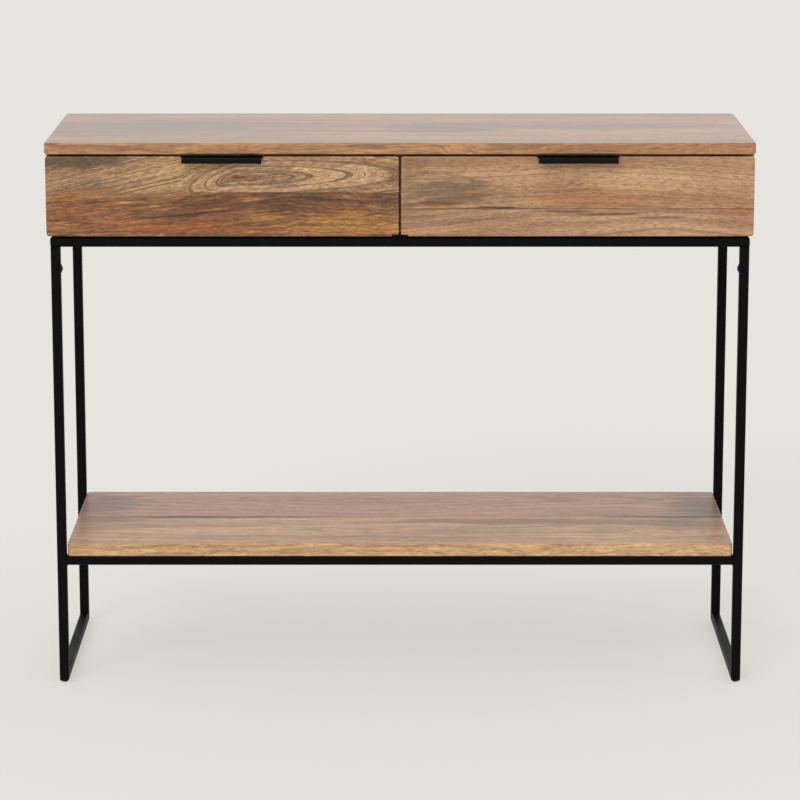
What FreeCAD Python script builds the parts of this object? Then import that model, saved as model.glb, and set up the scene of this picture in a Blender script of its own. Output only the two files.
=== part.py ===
import FreeCAD, Part
import math
import os
from FreeCAD import Placement, Rotation, Vector

# Console table: a wooden case with two drawers on a black square-tube base that also
# carries a lower shelf.  Millimetres.  The origin is on the floor at the centre of the
# whole outline, +X runs along the width, -Y is the front and +Z is up.

# Overall sizes
overall_width = 1100.0
top_depth = 350.0
overall_height = 870.0
shelf_top_height = 229.0

# Case
top_thickness = 18.0
panel_thickness = 18.0          # side panels and centre divider
case_inset = 1.5                # case and fronts set back from the ends of the top
case_bottom_thickness = 15.0
back_thickness = 6.0
back_rebate = 9.0               # how far the back panel is let into each side panel
board_easing = 2.5              # rounding of the edges of solid boards
top_corner = 7.0                # rounding of the corners of the top
front_corner = 4.5              # rounding of the corners of a drawer front

# Drawer fronts
front_thickness = 18.0
front_height = 125.0
reveal = 3.0                    # gap above, below and between the fronts
front_standoff = 1.2            # between the back of a front and the case
bumper_clearance = 0.2          # between a closed front and its bumpers
bumper_diameter = 8.0

# Steel base
tube = 15.0
tube_wall = 1.5
tube_corner = 3.0
frame_inset = 6.5               # base set back from the front and the ends of the top
collar_height = 3.0             # weld collar between a leg and the ring
spigot_length = 50.0
spigot_play = 0.2
glide_height = 3.0
glide_diameter = 11.0
glide_stem_diameter = 5.0
glide_stem_length = 4.0
tab_width = 24.0
tab_thickness = 4.6
tab_bearing = 30.0              # length of tab under the case bottom
tab_clearance = 1.0

# Shelf
shelf_thickness = 20.0
shelf_end_gap = 2.0             # between the shelf and each leg
shelf_rear_inset = 10.0         # shelf's back edge forward of the rear legs' back faces
shelf_corner = 6.0
side_rail_inset = 6.0           # shelf side rails in from the shelf's ends
plank_easing = 1.0

# Drawer boxes
box_height = 90.0
box_side_thickness = 12.0
box_lift = 9.0                  # drawer box above the case bottom
box_bottom_thickness = 5.0
box_bottom_lift = 8.0
groove_depth = 6.0

# Telescopic drawer slides, three nested channels each
slide_length = 300.0
slide_height = 45.0
slide_thickness = 12.7
slide_sheet = 1.2
slide_gap = 0.5                 # between the flanges of nested channels
slide_setback = 2.0
outer_flange = 8.5
middle_offset = 2.2             # middle channel's web from the case panel
middle_flange = 7.5
inner_flange = 8.3

# Handles
handle_width = 123.0
handle_sheet = 2.0
handle_reach = 18.0             # in front of the drawer front
handle_lip = 8.0
handle_seat = 15.0
handle_bend = 2.5               # outer radius of the folded edge
rebate_depth = 2.6
rebate_clearance = 2.5
handle_screw_spacing = 80.0

# Fasteners
thread_play = 0.05
bolt_drop = 35.0                # leg bolt below the ring
bolt_diameter = 6.0
bolt_hole_play = 0.3
bolt_flange_diameter = 13.6
bolt_flange_height = 1.0
bolt_head_diameter = 10.5
bolt_head_height = 2.3
bolt_socket = 4.0
bolt_socket_depth = 2.0
bolt_inset = 1.5                # end of the bolt short of the leg's outer wall
pan_screw_diameter = 4.5
pan_screw_head = 9.0
pan_screw_head_height = 2.5
pan_screw_bite = 12.0           # length of screw in the wood
wood_screw_diameter = 3.5
wood_screw_head = 7.0
wood_screw_length = 25.0
slide_screw_diameter = 3.0
slide_screw_head = 5.6
slide_screw_length = 10.5
slide_screw_inset = 35.0
dowel_diameter = 8.0
dowel_length = 28.0
dowel_in_board = 12.0           # share of a dowel in the top or in a side panel
dowel_end_margin = 45.0

# Levels and planes worked out from the sizes above
wood_front = handle_reach - (top_depth + handle_reach) / 2
wood_back = wood_front + top_depth
half_width = overall_width / 2
case_half = half_width - case_inset
top_underside = overall_height - top_thickness
front_top = top_underside - reveal
front_bottom = front_top - front_height
ring_top = front_bottom - reveal
ring_bottom = ring_top - tube
leg_top = ring_bottom - collar_height
frame_front = wood_front + frame_inset
frame_back = wood_back
frame_half = half_width - frame_inset
leg_inner = frame_half - tube
leg_centre = frame_half - tube / 2
front_rail_inner = frame_front + tube
rear_rail_inner = frame_back - tube
case_front = wood_front + front_thickness + front_standoff
back_panel_front = wood_back - back_thickness
case_bottom_top = ring_top + case_bottom_thickness
side_inner = case_half - panel_thickness
shelf_underside = shelf_top_height - shelf_thickness
shelf_rail_bottom = shelf_underside - tube
shelf_half = leg_inner - shelf_end_gap
shelf_back = frame_back - shelf_rear_inset
shelf_seam = (frame_front + shelf_back) / 2
side_rail_outer = shelf_half - side_rail_inset
slide_front = case_front + slide_setback
box_front = wood_front + front_thickness
box_back = slide_front + slide_length
box_bottom = case_bottom_top + box_lift
slide_centre = box_bottom + box_height / 2
bay_inner = panel_thickness / 2
bay_centre = (side_inner + bay_inner) / 2
box_half = (side_inner - bay_inner) / 2 - slide_thickness
handle_top = front_top - rebate_depth + handle_sheet
front_centre = (case_half + reveal / 2) / 2


def block(x0, x1, y0, y1, z0, z1):
    """A box given by its limits along each axis, in either order."""
    low = Vector(min(x0, x1), min(y0, y1), min(z0, z1))
    return Part.makeBox(abs(x1 - x0), abs(y1 - y0), abs(z1 - z0), low)


def eased(shape, radius):
    """Every edge rounded by the given radius."""
    return shape.makeFillet(radius, shape.Edges)


def edges_along(shape, direction):
    """The straight edges that run along the direction."""
    return [e for e in shape.Edges if abs(e.tangentAt(e.FirstParameter).dot(direction)) > 0.9]


def cylinder(point, direction, diameter, length):
    return Part.makeCylinder(diameter / 2, length, point, direction)


def turned(profile):
    """A solid of revolution about Z from (radius, height) points, first and last on the axis."""
    points = [Vector(r, 0, z) for r, z in profile]
    face = Part.Face(Part.makePolygon(points + points[:1]))
    return face.revolve(Vector(0, 0, 0), Vector(0, 0, 1), 360)


def aimed(shape, point, direction):
    """Moves a shape made along -Z so that it points in the direction, from the point."""
    moved = shape.copy()
    moved.Placement = Placement(point, Rotation(Vector(0, 0, -1), direction))
    return moved


def rounded_square(size, corner, length):
    """A square bar along +Z, centred on the axis, with rounded long edges."""
    bar = Part.makeBox(size, size, length, Vector(-size / 2, -size / 2, 0))
    return bar.makeFillet(corner, edges_along(bar, Vector(0, 0, 1)))


def square_tube(start, direction, length):
    """A length of the frame's square tube with its axis from the start point."""
    bore = tube - 2 * tube_wall
    tube_solid = rounded_square(tube, tube_corner, length).cut(
        rounded_square(bore, tube_corner - tube_wall, length))
    return placed_along(tube_solid, start, direction)


def placed_along(shape, start, direction):
    moved = shape.copy()
    moved.Placement = Placement(start, Rotation(Vector(0, 0, 1), direction))
    return moved


def prism(points, direction):
    """A closed polygon of points swept by a vector, used to trim tubes to a mitre."""
    return Part.Face(Part.makePolygon(points + points[:1])).extrude(direction)


def group(solids):
    return Part.makeCompound(solids)


# ---------------------------------------------------------------- fasteners


def flanged_bolt():
    """Flanged button-head bolt along -Z; the flange's underside is at z = 0."""
    rim = bolt_head_diameter / 2
    rise = bolt_head_height
    sphere_radius = (rim * rim + rise * rise) / (2 * rise)
    dome = Part.makeSphere(sphere_radius, Vector(0, 0, bolt_flange_height + rise - sphere_radius))
    dome = dome.common(cylinder(Vector(0, 0, bolt_flange_height), Vector(0, 0, 1),
                                bolt_head_diameter, rise))
    flange = cylinder(Vector(0, 0, 0), Vector(0, 0, 1), bolt_flange_diameter, bolt_flange_height)
    shank = cylinder(Vector(0, 0, 0), Vector(0, 0, -1), bolt_diameter, tube - tube_wall - bolt_inset)
    corner = bolt_socket / math.sqrt(3)
    floor = bolt_flange_height + rise - bolt_socket_depth
    hexagon = [Vector(corner * math.cos(k * math.pi / 3), corner * math.sin(k * math.pi / 3), floor)
               for k in range(6)]
    socket = prism(hexagon, Vector(0, 0, 2 * bolt_socket_depth))
    return flange.fuse([dome, shank]).removeSplitter().cut(socket)


def countersunk_screw(diameter, head, length, play=0.0):
    """Countersunk screw along -Z with its flat head at z = 0; play makes it a hole for one."""
    radius = diameter / 2 + play
    head_radius = head / 2 + play
    cone = head_radius - radius
    tip = length + play
    return turned([(0, 0), (head_radius, 0), (radius, -cone), (radius, -tip + radius), (0, -tip)])


def pan_screw(length, play=0.0):
    """Pan-head screw along -Z; the head's underside is at z = 0."""
    radius = pan_screw_diameter / 2 + play
    head = pan_screw_head / 2
    rise = pan_screw_head_height
    tip = length + play
    return turned([(0, rise), (head * 0.6, rise), (head, rise * 0.4), (head, 0), (radius, 0),
                   (radius, -tip + radius), (0, -tip)])


def dowel_rows():
    """The dowels' places from front to back, the same in every joint of the case."""
    first, last = case_front + dowel_end_margin, back_panel_front - dowel_end_margin
    return [first, (first + last) / 2, last]


def frame_screw_places():
    """Points under the side rails of the ring and the shelf, and under the support tab."""
    places = []
    rows = dowel_rows()
    for side in (-1, 1):
        for before, after in zip(rows, rows[1:]):
            places.append(Vector(side * leg_centre, (before + after) / 2, ring_bottom))
        for edge_low, edge_high in ((front_rail_inner, shelf_seam), (shelf_seam, rear_rail_inner)):
            for share in (0.25, 0.75):
                y = edge_low + share * (edge_high - edge_low)
                places.append(Vector(side * (side_rail_outer - tube / 2), y, shelf_rail_bottom))
    places.append(Vector(0, case_front + tab_bearing / 2, ring_top))
    return places


def frame_screws(play=0.0):
    """Identical pan-head screws driven upwards through the tubes into the wood."""
    screw = pan_screw(tube + pan_screw_bite, play)
    return group([aimed(screw, p, Vector(0, 0, 1)) for p in frame_screw_places()])


def dowel_places():
    """Start points and directions of the dowels, each starting in a board's thickness."""
    mid_panel = case_half - panel_thickness / 2
    up = [(Vector(x, y, top_underside + dowel_in_board), Vector(0, 0, -1))
          for x in (-mid_panel, 0, mid_panel) for y in dowel_rows()]
    level = ring_top + case_bottom_thickness / 2
    across = [(Vector(side * (side_inner + dowel_in_board), y, level), Vector(-side, 0, 0))
              for side in (-1, 1) for y in dowel_rows()]
    return up + across


def case_dowels():
    return group([cylinder(p, d, dowel_diameter, dowel_length) for p, d in dowel_places()])


def case_slide_screw_places():
    """Screws that hold the four outer slide channels to the case panels."""
    places = []
    for side in (-1, 1):
        for panel, outward in ((side_inner, 1), (bay_inner, -1)):
            for y in (slide_front + slide_screw_inset, slide_front + slide_length - slide_screw_inset):
                head = Vector(side * (panel - outward * slide_sheet), y, slide_centre)
                places.append((head, Vector(side * outward, 0, 0)))
    return places


def case_slide_screws(play=0.0):
    screw = countersunk_screw(slide_screw_diameter, slide_screw_head, slide_screw_length, play)
    return group([aimed(screw, p, d) for p, d in case_slide_screw_places()])


# ---------------------------------------------------------------- steel base


def leg_bolt_places():
    """Points on the legs' inner faces, with the direction into the leg."""
    level = ring_bottom - bolt_drop
    return [(Vector(side * leg_inner, y, level), Vector(side, 0, 0))
            for side in (-1, 1) for y in (frame_front + tube / 2, frame_back - tube / 2)]


def leg(side, at_front):
    """A square-tube leg, open at the top and mitred to its floor runner."""
    outer_y, inward = (frame_front, 1) if at_front else (frame_back, -1)
    centre_y = outer_y + inward * tube / 2
    x = side * leg_centre
    stock = square_tube(Vector(x, centre_y, glide_height), Vector(0, 0, 1), leg_top - glide_height)
    outline = [(outer_y, glide_height), (outer_y, leg_top),
               (outer_y + inward * tube, leg_top), (outer_y + inward * tube, glide_height + tube)]
    trim = prism([Vector(x - tube, y, z) for y, z in outline], Vector(2 * tube, 0, 0))
    shape = stock.common(trim)
    for point, direction in leg_bolt_places():
        if abs(point.x - side * leg_inner) < 1 and abs(point.y - centre_y) < 1:
            hole = bolt_diameter + 2 * bolt_hole_play
            shape = shape.cut(cylinder(point - direction, direction, hole, tube_wall + 2))
    return shape


def glide_places(side):
    """Centres of the glides under one runner, close to its ends."""
    inset = tube / 2 + 1.5
    return [Vector(side * leg_centre, y, glide_height) for y in (frame_front + inset, frame_back - inset)]


def floor_runner(side):
    """The tube on the floor that joins a front leg to its rear leg."""
    x = side * leg_centre
    low, high = glide_height, glide_height + tube
    stock = square_tube(Vector(x, frame_front, low + tube / 2), Vector(0, 1, 0), frame_back - frame_front)
    outline = [(frame_front, low), (frame_back, low), (frame_back - tube, high), (frame_front + tube, high)]
    shape = stock.common(prism([Vector(x - tube, y, z) for y, z in outline], Vector(2 * tube, 0, 0)))
    for point in glide_places(side):
        hole = glide_stem_diameter + 2 * thread_play
        shape = shape.cut(cylinder(point, Vector(0, 0, 1), hole, tube_wall))
    return shape


def floor_glides():
    """Plastic glides with a domed foot and a stem pressed into the runners."""
    foot = glide_diameter / 2
    stem = glide_stem_diameter / 2
    glide = turned([(0, -glide_height), (foot - 1.5, -glide_height), (foot, -glide_height / 2), (foot, 0),
                    (stem, 0), (stem, glide_stem_length), (0, glide_stem_length)])
    return group([glide.translated(p) for side in (-1, 1) for p in glide_places(side)])


def ring_end_rail(at_front):
    """The front or back rail of the ring under the case, mitred at both ends."""
    outer_y, inner_y = (frame_front, front_rail_inner) if at_front else (frame_back, rear_rail_inner)
    stock = square_tube(Vector(-frame_half, (outer_y + inner_y) / 2, ring_bottom + tube / 2),
                        Vector(1, 0, 0), 2 * frame_half)
    outline = [(-frame_half, outer_y), (frame_half, outer_y), (leg_inner, inner_y), (-leg_inner, inner_y)]
    return stock.common(prism([Vector(x, y, ring_bottom) for x, y in outline], Vector(0, 0, tube)))


def ring_side_rail(side):
    stock = square_tube(Vector(side * leg_centre, frame_front, ring_bottom + tube / 2),
                        Vector(0, 1, 0), frame_back - frame_front)
    outline = [(frame_half, frame_front), (frame_half, frame_back),
               (leg_inner, rear_rail_inner), (leg_inner, front_rail_inner)]
    trim = prism([Vector(side * x, y, ring_bottom) for x, y in outline], Vector(0, 0, tube))
    return stock.common(trim).cut(frame_screws(thread_play))


def leg_spigots():
    """Square stubs welded under the ring's corners; each slips into a leg."""
    bar = tube - 2 * tube_wall - 2 * spigot_play
    collar = rounded_square(tube, tube_corner, collar_height)
    stub = rounded_square(bar, tube_corner - tube_wall, spigot_length)
    blank = collar.fuse(stub.translated(Vector(0, 0, -spigot_length)))
    spigots = []
    for point, direction in leg_bolt_places():
        spigot = blank.translated(Vector(point.x + direction.x * tube / 2, point.y, leg_top))
        hole = cylinder(point, direction, bolt_diameter + 2 * thread_play, tube)
        spigots.append(spigot.cut(hole))
    return group(spigots)


def leg_bolts():
    return group([aimed(flanged_bolt(), p, d) for p, d in leg_bolt_places()])


def front_support_tab():
    """Flat steel tab on the front rail that carries the middle of the case's front edge."""
    tab = block(-tab_width / 2, tab_width / 2, frame_front + 1, case_front + tab_bearing,
                ring_top, ring_top + tab_thickness)
    return tab.cut(frame_screws(thread_play))


def shelf_end_rail(at_front):
    """A shelf rail along the width, welded between two legs."""
    y = frame_front + tube / 2 if at_front else frame_back - tube / 2
    return square_tube(Vector(-leg_inner, y, shelf_rail_bottom + tube / 2), Vector(1, 0, 0), 2 * leg_inner)


def shelf_side_rail(side):
    """A shelf rail from front to back under the shelf's end."""
    rail = square_tube(Vector(side * (side_rail_outer - tube / 2), front_rail_inner,
                              shelf_rail_bottom + tube / 2),
                       Vector(0, 1, 0), rear_rail_inner - front_rail_inner)
    return rail.cut(frame_screws(thread_play))


def shelf_plank(at_front):
    """Half of the shelf: a plank with its outer corners rounded and its edges eased."""
    y_outer = frame_front if at_front else shelf_back
    plank = block(-shelf_half, shelf_half, y_outer, shelf_seam, shelf_underside, shelf_top_height)
    corners = [e for e in edges_along(plank, Vector(0, 0, 1)) if abs(e.CenterOfMass.y - y_outer) < 1]
    plank = plank.makeFillet(shelf_corner, corners)
    return eased(plank, plank_easing).cut(frame_screws(thread_play))


# ---------------------------------------------------------------- case


def top_panel():
    board = block(-half_width, half_width, wood_front, wood_back, top_underside, overall_height)
    board = board.makeFillet(top_corner, edges_along(board, Vector(0, 0, 1)))
    return eased(board, board_easing).cut(case_dowels())


def side_panel(side):
    """An end of the case, rebated for the back panel."""
    panel = block(side * side_inner, side * case_half, case_front, wood_back, ring_top, top_underside)
    rebate = block(side * (side_inner - 1), side * (side_inner + back_rebate),
                   back_panel_front, wood_back + 1, ring_top - 1, top_underside + 1)
    cutters = [rebate, case_dowels(), frame_screws(thread_play), case_slide_screws(thread_play)]
    return panel.cut(cutters)


def centre_divider():
    panel = block(-bay_inner, bay_inner, case_front, back_panel_front, case_bottom_top, top_underside)
    return panel.cut([case_dowels(), frame_screws(thread_play), case_slide_screws(thread_play)])


def case_bottom():
    """The floor of the case, with a pocket under its front edge for the support tab."""
    panel = block(-side_inner, side_inner, case_front, back_panel_front, ring_top, case_bottom_top)
    pocket = block(-tab_width / 2, tab_width / 2, case_front - 1, case_front + tab_bearing,
                   ring_top - 1, ring_top + tab_thickness)
    return panel.cut([pocket, case_dowels(), frame_screws(thread_play)])


def back_panel():
    half = side_inner + back_rebate
    return block(-half, half, back_panel_front, wood_back, ring_top, top_underside)


def drawer_bumpers():
    """Soft pads on the case's front edges, two behind each drawer front."""
    thickness = front_standoff - bumper_clearance
    columns = (case_half - panel_thickness / 2, bay_inner / 2)
    return group([cylinder(Vector(side * x, case_front, slide_centre), Vector(0, -1, 0),
                           bumper_diameter, thickness) for side in (-1, 1) for x in columns])


# ---------------------------------------------------------------- drawers


def front_limits(side):
    """Lowest and highest X of one drawer front."""
    ends = (side * reveal / 2, side * case_half)
    return min(ends), max(ends)


def wood_screw_places(side):
    """Screws of one drawer: two through the handle, four through the box into the front."""
    seat_y = wood_front + front_thickness / 2
    centre = side * front_centre
    places = [(Vector(centre + k * handle_screw_spacing / 2, seat_y, handle_top), Vector(0, 0, -1))
              for k in (-1, 1)]
    inside = box_front + box_side_thickness
    for dx in (-0.7, 0.7):
        for z in (box_bottom + box_height * 0.35, box_bottom + box_height * 0.75):
            places.append((Vector(side * bay_centre + dx * box_half, inside, z), Vector(0, -1, 0)))
    return places


def drawer_screws(side, play=0.0):
    screw = countersunk_screw(wood_screw_diameter, wood_screw_head, wood_screw_length, play)
    return group([aimed(screw, p, d) for p, d in wood_screw_places(side)])


def drawer_slide_screws(side, play=0.0):
    """Screws that hold the inner slide channels to the sides of one drawer."""
    screw = countersunk_screw(slide_screw_diameter, slide_screw_head, slide_screw_length, play)
    screws = []
    for face in (-1, 1):
        x = side * bay_centre + face * (box_half + slide_sheet)
        for y in (slide_front + slide_screw_inset, slide_front + slide_length - slide_screw_inset):
            screws.append(aimed(screw, Vector(x, y, slide_centre), Vector(-face, 0, 0)))
    return group(screws)


def drawer_front(side):
    """Full overlay front with a rebate for the handle and a notch over the support tab."""
    low, high = front_limits(side)
    front = block(low, high, wood_front, wood_front + front_thickness, front_bottom, front_top)
    front = eased(front.makeFillet(front_corner, edges_along(front, Vector(0, 1, 0))), board_easing)
    half = handle_width / 2 + rebate_clearance
    centre = side * front_centre
    rebate = block(centre - half, centre + half, wood_front - 1, wood_front + handle_seat + thread_play,
                   front_top - rebate_depth, front_top + 1)
    notch = block(0, side * (tab_width / 2 + tab_clearance), wood_front - 1,
                  wood_front + front_thickness + 1, front_bottom - 1,
                  ring_top + tab_thickness + tab_clearance)
    return front.cut([rebate, notch, drawer_screws(side, thread_play)])


def handle(side):
    """Folded sheet edge pull: a seat let into the front and a lip turned down before it."""
    centre = side * front_centre
    half = handle_width / 2
    nose = wood_front - handle_reach
    blank = block(centre - half, centre + half, nose, wood_front + handle_seat,
                  handle_top - handle_lip, handle_top)
    fold = [e for e in blank.Edges
            if abs(e.CenterOfMass.y - nose) < 0.01 and abs(e.CenterOfMass.z - handle_top) < 0.01]
    hollow = block(centre - half - 1, centre + half + 1, nose + handle_sheet, wood_front + handle_seat + 1,
                   handle_top - handle_lip - 1, handle_top - handle_sheet)
    inner_fold = [e for e in hollow.Edges if abs(e.CenterOfMass.y - nose - handle_sheet) < 0.01
                  and abs(e.CenterOfMass.z - handle_top + handle_sheet) < 0.01]
    hollow = hollow.makeFillet(handle_bend - handle_sheet, inner_fold)
    shape = blank.makeFillet(handle_bend, fold).cut(hollow)
    return shape.cut(drawer_screws(side, thread_play))


def drawer_bottom(side):
    """Plywood sheet held in the grooves of the drawer box."""
    centre = side * bay_centre
    half = box_half - box_side_thickness + groove_depth
    z = box_bottom + box_bottom_lift
    return block(centre - half, centre + half, box_front + box_side_thickness - groove_depth,
                 box_back - box_side_thickness + groove_depth, z, z + box_bottom_thickness)


def drawer_side(side, face):
    """A side of a drawer box; face is -1 for its left side and 1 for its right."""
    x = side * bay_centre + face * box_half
    board = block(x, x - face * box_side_thickness, box_front, box_back, box_bottom, box_bottom + box_height)
    return board.cut([drawer_bottom(side), drawer_slide_screws(side, thread_play)])


def drawer_cross_board(side, at_front):
    """The inner front or the back of a drawer box, between its sides."""
    centre = side * bay_centre
    half = box_half - box_side_thickness
    y = box_front if at_front else box_back - box_side_thickness
    board = block(centre - half, centre + half, y, y + box_side_thickness, box_bottom, box_bottom + box_height)
    return board.cut([drawer_bottom(side), drawer_screws(side, thread_play)])


# ---------------------------------------------------------------- drawer slides


def channel(web, flange, height):
    """A sheet channel along +Y, its web against x = 0 and its flanges towards +X."""
    solid = Part.makeBox(flange, slide_length, height, Vector(0, 0, -height / 2))
    hollow = Part.makeBox(flange, slide_length, height - 2 * web, Vector(web, 0, web - height / 2))
    return solid.cut(hollow)


def slide_channel(side, face, member):
    """One channel of a slide.  face is -1 or 1 for the drawer's left or right slide."""
    step = slide_sheet + slide_gap
    reach = slide_thickness
    if member == "outer":
        shape, start, out = channel(slide_sheet, outer_flange, slide_height), reach, 1
    elif member == "middle":
        shape = channel(slide_sheet, middle_flange, slide_height - 2 * step)
        start, out = reach - middle_offset, 1
    else:
        shape, start, out = channel(slide_sheet, inner_flange, slide_height - 4 * step), 0, -1
    if face * out > 0:
        shape = shape.mirror(Vector(0, 0, 0), Vector(1, 0, 0))
    x = side * bay_centre + face * (box_half + start)
    shape = shape.translated(Vector(x, slide_front, slide_centre))
    return shape.cut([case_slide_screws(thread_play), drawer_slide_screws(side, thread_play)])


# ---------------------------------------------------------------- output


def save(name, shape):
    """Writes one node.  A node with a single piece is written as that solid."""
    solids = shape.Solids
    if not shape.isValid():
        print("not valid:", name)
    out = solids[0] if len(solids) == 1 else group(solids)
    out.exportStep("parts/" + name + ".step")
    print(name, len(solids), round(sum(s.Volume for s in solids) / 1000, 2), "cm3")


os.makedirs("parts", exist_ok=True)
sides = {"left": -1, "right": 1}
ends = {"front": True, "rear": False}

for side_name, side in sides.items():
    for end_name, at_front in ends.items():
        save(side_name + "_" + end_name + "_leg", leg(side, at_front))
    save(side_name + "_floor_runner", floor_runner(side))
    save("ring_" + side_name + "_rail", ring_side_rail(side))
    save("shelf_" + side_name + "_rail", shelf_side_rail(side))
    save(side_name + "_side_panel", side_panel(side))
for end_name, at_front in ends.items():
    save("ring_" + end_name + "_rail", ring_end_rail(at_front))
    save("shelf_" + end_name + "_rail", shelf_end_rail(at_front))
    save("shelf_" + end_name + "_plank", shelf_plank(at_front))
save("leg_spigots", leg_spigots())
save("leg_bolts", leg_bolts())
save("floor_glides", floor_glides())
save("front_support_tab", front_support_tab())
save("frame_screws", frame_screws())
save("top_panel", top_panel())
save("centre_divider", centre_divider())
save("case_bottom", case_bottom())
save("back_panel", back_panel())
save("case_dowels", case_dowels())
save("case_slide_screws", case_slide_screws())
save("drawer_bumpers", drawer_bumpers())
for side_name, side in sides.items():
    drawer = side_name + "_drawer_"
    save(drawer + "front", drawer_front(side))
    save(drawer + "handle", handle(side))
    save(drawer + "inner_front", drawer_cross_board(side, True))
    save(drawer + "back", drawer_cross_board(side, False))
    save(drawer + "bottom", drawer_bottom(side))
    save(drawer + "screws", drawer_screws(side))
    save(drawer + "slide_screws", drawer_slide_screws(side))
    for face_name, face in sides.items():
        save(drawer + face_name + "_side", drawer_side(side, face))
        for member in ("outer", "middle", "inner"):
            save(drawer + face_name + "_slide_" + member, slide_channel(side, face, member))
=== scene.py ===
import math
import bpy
import numpy as np
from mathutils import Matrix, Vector


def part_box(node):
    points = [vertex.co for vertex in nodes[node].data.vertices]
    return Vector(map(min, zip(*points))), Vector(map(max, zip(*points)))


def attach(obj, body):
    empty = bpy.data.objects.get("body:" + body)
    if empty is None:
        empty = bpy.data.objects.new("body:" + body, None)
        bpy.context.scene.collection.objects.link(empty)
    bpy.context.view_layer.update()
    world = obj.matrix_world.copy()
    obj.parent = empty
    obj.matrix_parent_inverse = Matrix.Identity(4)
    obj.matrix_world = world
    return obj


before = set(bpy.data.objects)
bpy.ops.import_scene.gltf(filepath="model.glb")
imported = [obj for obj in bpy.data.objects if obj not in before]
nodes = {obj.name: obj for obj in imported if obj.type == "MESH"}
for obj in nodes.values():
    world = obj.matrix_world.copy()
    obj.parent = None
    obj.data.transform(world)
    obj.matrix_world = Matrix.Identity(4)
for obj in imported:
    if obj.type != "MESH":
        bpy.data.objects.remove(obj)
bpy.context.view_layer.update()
print("frame loaded:", len(nodes), "nodes")

# a long lens a few paces back, at standing eye height, looking slightly down at the table
cameraLook = {
    "distance": 4.852,      # m in front of the drawer fronts
    "eyeHeight": 1.557,
    "pitch": 11.25,         # degrees below level
    "lens": 142.8,          # mm on a 36 mm sensor
    "shiftY": -0.10,
}


def makeCamera(look):
    camera = bpy.data.cameras.new("camera")
    camera.lens = look["lens"]
    camera.sensor_width = 36.0
    camera.shift_y = look["shiftY"]
    camera.clip_end = 200.0
    holder = bpy.data.objects.new("camera", camera)
    bpy.context.scene.collection.objects.link(holder)
    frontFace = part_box("left_drawer_front")[0].y
    holder.location = (0.0, frontFace - look["distance"], look["eyeHeight"])
    holder.rotation_euler = (math.radians(90.0 - look["pitch"]), 0.0, 0.0)
    bpy.context.scene.camera = holder


makeCamera(cameraLook)
print("camera set")


def linear(hexColour):
    # sRGB hex to the linear values that the shaders work in
    parts = [int(hexColour[i:i + 2], 16) / 255.0 for i in (1, 3, 5)]
    return tuple(p / 12.92 if p <= 0.04045 else ((p + 0.055) / 1.055) ** 2.4 for p in parts) + (1.0,)


def addNode(tree, kind, inputs=None, out=0, **settings):
    # one node with its settings; each input gets a value, or the socket that feeds it
    made = tree.nodes.new("ShaderNode" + kind)
    for key, value in settings.items():
        setattr(made, key, value)
    for key, value in (inputs or {}).items():
        if isinstance(value, bpy.types.NodeSocket):
            tree.links.new(value, made.inputs[key])
        else:
            made.inputs[key].default_value = value
    return made.outputs[out] if made.outputs else None


def newMaterial(name):
    material = bpy.data.materials.new(name)
    material.use_nodes = True
    material.node_tree.nodes.clear()
    return material, material.node_tree


def finishMaterial(tree, settings, relief, depth):
    # the surface shader, over a relief whose full height is depth, in millimetres
    bump = addNode(tree, "Bump", {"Height": relief, "Distance": depth / 1000.0, "Strength": 1.0})
    shader = addNode(tree, "BsdfPrincipled", {**settings, "Normal": bump})
    addNode(tree, "OutputMaterial", {"Surface": shader})


# Solid mango: flat-sawn boards under satin lacquer. Growth rings are cones round a pith line that
# runs along the board, so a face shows ovals where the pith comes near it and streaks elsewhere.
# Colour drifts between tan, grey-brown and gold, with dark mineral streaks and short open pores.
# Lengths are in millimetres, and a size is a feature's length along the grain and its width
# across it. Fibres and pores are a tenth to a third of a millimetre wide in mango, and are drawn
# several times that so that they show.
plainMango = {
    "face": "front", "seed": 0.0,
    "pith": (0.0, 700.0, -100.0),       # where it runs: along, across and through the board
    "slope": (0.0, 0.0),                # how the grain climbs to the left and right of that point
    "cone": (0.05, 0.05),               # how the pith falls away from the face on either side
    "coneEnd": 1000.0, "ring": 12.0, "wander": 10.0, "swaySize": (333.3, 90.9),
    "light": "#bf936b", "dark": "#9f7753", "driftSize": (625.0, 83.33),
    "warm": "#b0703f", "warmth": 0.4, "warmSize": (312.5, 33.33),
    "figure": 0.45, "ringColour": "#86603f", "lines": 0.4, "lineWidth": 0.045, "lineColour": "#62422b",
    "streaks": 0.45, "streakSize": (200.0, 6.667), "streakColour": "#7d5739", "paleStreak": "#d2a97e",
    "mottle": 0.3, "mottleSize": (33.33, 13.33),
    "mineral": 0.4, "mineralSize": (454.5, 12.5), "mineralColour": "#54402f",
    "fibre": 0.6, "fibreSize": (23.81, 1.923), "fibreColour": "#a0968c",
    "pores": 0.5, "poreSize": (11.76, 1.429), "poreColour": "#5a3d29",
    # a patch: its middle along and across, half its length and width, strength and colour
    "patches": [], "rimSize": (100.0, 9.091), "rim": 3.2,
    "rough": 0.5, "gloss": 0.5, "lacquer": 0.7, "lacquerRough": 0.25, "relief": 0.25,
    # the joint of two strips: its height, how it bends, and from where to where they match how well
    "seam": 0.0, "seamBend": (333.3, 2.0), "seamSharp": 0.6, "matched": (-2000.0, -1900.0, 0.6),
    "glue": 0.8, "glueWidth": 1.4, "glueGap": 111.1, "glueBreak": 0.3, "glueColour": "#3d2618",
}
drawerFront = dict(plainMango, lacquer=0.15, gloss=0.35)
shelfPlank = dict(plainMango, face="top", wander=30.0, ring=16.0, figure=0.3, streaks=0.3, mottle=0.2,
                  lines=0.3, lacquer=0.3)
caseBoard = dict(plainMango, seed=71.0, pith=(100.0, 750.0, 300.0), light="#cb9e72", dark="#a98057",
                 lacquer=0.0, rough=0.6)
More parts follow.
